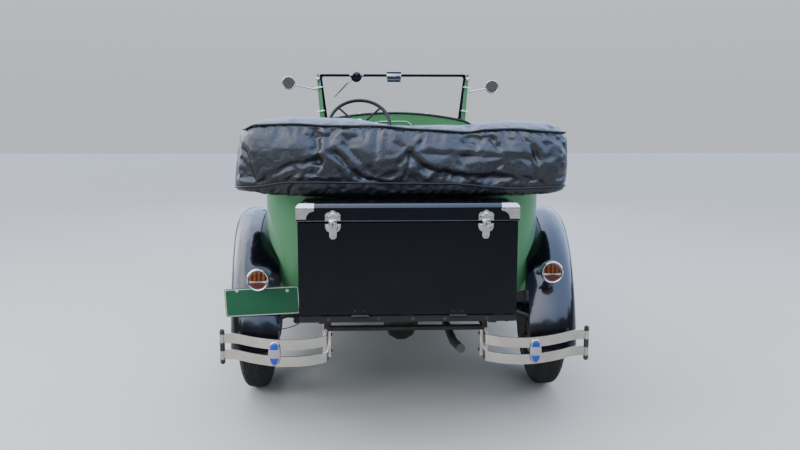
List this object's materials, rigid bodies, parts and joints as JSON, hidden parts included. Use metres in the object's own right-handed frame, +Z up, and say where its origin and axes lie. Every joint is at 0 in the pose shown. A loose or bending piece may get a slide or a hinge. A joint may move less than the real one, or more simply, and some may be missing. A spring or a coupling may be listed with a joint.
{
  "type": "touring car",
  "caption": "Open touring car of the late twenties with folded top in a cover, rear trunk on a rack, wire wheels, hinged doors and bonnet, turning wheels and steering.",
  "frame": {"origin": "on the ground, at the middle of the length and width", "axes": "+Z up, +Y towards the front of the car, +X towards its right side"},
  "size_m": [1.7036, 4.11, 1.68],
  "materials": {
    "paint_green": "gloss",
    "paint_black": "gloss",
    "chassis_black": "satin",
    "nickel": "polished",
    "tyre": "matt",
    "cast": "painted",
    "core": "matt black fins",
    "glass": "clear",
    "cover_vinyl": "grained, creased",
    "seat_leather": "grained",
    "plate_green": "gloss",
    "wheel_black": "gloss"
  },
  "bodies": {
    "chassis": {"body_tub": "paint_green", "cowl": "paint_green", "engine": "cast", "frame": "chassis_black", "front_axle": "chassis_black", "front_bumper": "nickel", "front_fenders": "paint_black", "front_seat": "seat_leather", "headlamp_lenses": "glass", "headlamps": "nickel", "hood_hinge": "nickel", "hood_sills": "paint_black", "instrument_panel": "paint_green", "licence_plate": "plate_green", "mirrors": "nickel", "radiator_core": "core", "radiator_shell": "nickel", "rear_axle": "chassis_black", "rear_bumpers": "nickel", "rear_fenders": "paint_black", "rear_seat": "seat_leather", "running_boards": "paint_black", "seat_bases": "paint_green", "spring_front": "chassis_black", "spring_rear": "chassis_black", "steering_column": "paint_black", "tail_lamps": "nickel", "top_cover": "cover_vinyl", "trunk_body": "paint_black", "trunk_lid": "paint_black", "trunk_lid_fittings": "nickel", "trunk_rack": "chassis_black", "windscreen_frame": "paint_black", "windscreen_glass": "glass", "windscreen_posts": "paint_green"},
    "door_front_left": {"door_front_left": "paint_green"},
    "door_front_right": {"door_front_right": "paint_green"},
    "door_rear_left": {"door_rear_left": "paint_green"},
    "door_rear_right": {"door_rear_right": "paint_green"},
    "hood_left": {"hood_left": "paint_green"},
    "hood_right": {"hood_right": "paint_green"},
    "trunk_panel": {"trunk_panel": "paint_black", "trunk_panel_fittings": "nickel"},
    "steering_wheel": {"steering_wheel": "paint_black"},
    "steer_left": {"knuckle_left": "chassis_black"},
    "steer_right": {"knuckle_right": "chassis_black"},
    "tie_rod": {"tie_rod": "chassis_black"},
    "roll_front_left": {"wheel_front_left": "wheel_black", "tyre_front_left": "tyre"},
    "roll_front_right": {"wheel_front_right": "wheel_black", "tyre_front_right": "tyre"},
    "roll_rear_left": {"wheel_rear_left": "wheel_black", "tyre_rear_left": "tyre"},
    "roll_rear_right": {"wheel_rear_right": "wheel_black", "tyre_rear_right": "tyre"}
  },
  "joints": [
    {"name": "door_front_left_hinge", "type": "hinge", "parent": "chassis", "child": "door_front_left", "pos_m": [-0.60747, 0.135, 0.72], "axis": [0, 0, -1], "range_deg": [0, 70]},
    {"name": "door_front_right_hinge", "type": "hinge", "parent": "chassis", "child": "door_front_right", "pos_m": [0.60747, 0.135, 0.72], "axis": [0, 0, 1], "range_deg": [0, 70]},
    {"name": "door_rear_left_hinge", "type": "hinge", "parent": "chassis", "child": "door_rear_left", "pos_m": [-0.65463, -0.485, 0.72], "axis": [0, 0, -1], "range_deg": [0, 70]},
    {"name": "door_rear_right_hinge", "type": "hinge", "parent": "chassis", "child": "door_rear_right", "pos_m": [0.65463, -0.485, 0.72], "axis": [0, 0, 1], "range_deg": [0, 70]},
    {"name": "hood_left_hinge", "type": "hinge", "parent": "chassis", "child": "hood_left", "pos_m": [0, 0.5815, 1.272], "axis": [0, 0.9894, -0.1452], "range_deg": [0, 60]},
    {"name": "hood_right_hinge", "type": "hinge", "parent": "chassis", "child": "hood_right", "pos_m": [0, 0.5815, 1.272], "axis": [0, -0.9894, 0.1452], "range_deg": [0, 60]},
    {"name": "trunk_panel_hinge", "type": "hinge", "parent": "chassis", "child": "trunk_panel", "pos_m": [0, -2.039, 0.561], "axis": [1, 0, 0], "range_deg": [0, 90]},
    {"name": "steer_left_pin", "type": "hinge", "parent": "chassis", "child": "steer_left", "pos_m": [-0.6, 1.409, 0.378], "axis": [0, 0, 1], "range_deg": [-30, 30]},
    {"name": "steer_right_pin", "type": "hinge", "parent": "chassis", "child": "steer_right", "pos_m": [0.6, 1.409, 0.378], "axis": [0, 0, 1], "range_deg": [-30, 30]},
    {"name": "steering_wheel_turn", "type": "hinge", "parent": "chassis", "child": "steering_wheel", "pos_m": [-0.225, -0.17, 1.322], "axis": [0, -0.809, 0.5878], "range_deg": [-331, 331]},
    {"name": "tie_rod_pin", "type": "hinge", "parent": "steer_left", "child": "tie_rod", "pos_m": [-0.6, 1.259, 0.3], "axis": [0, 0, 1], "range_deg": [-31, 31]},
    {"name": "wheel_front_left_spin", "type": "hinge", "parent": "steer_left", "child": "roll_front_left", "pos_m": [-0.711, 1.409, 0.378], "axis": [1, 0, 0], "continuous": true},
    {"name": "wheel_front_right_spin", "type": "hinge", "parent": "steer_right", "child": "roll_front_right", "pos_m": [0.711, 1.409, 0.378], "axis": [1, 0, 0], "continuous": true},
    {"name": "wheel_rear_left_spin", "type": "hinge", "parent": "chassis", "child": "roll_rear_left", "pos_m": [-0.711, -1.22, 0.378], "axis": [1, 0, 0], "continuous": true},
    {"name": "wheel_rear_right_spin", "type": "hinge", "parent": "chassis", "child": "roll_rear_right", "pos_m": [0.711, -1.22, 0.378], "axis": [1, 0, 0], "continuous": true}
  ],
  "couplings": [
    {"joint": "steer_right_pin", "follows": "steer_left_pin", "ratio": 1},
    {"joint": "steering_wheel_turn", "follows": "steer_left_pin", "ratio": 11},
    {"joint": "tie_rod_pin", "follows": "steer_left_pin", "ratio": -1}
  ]
}
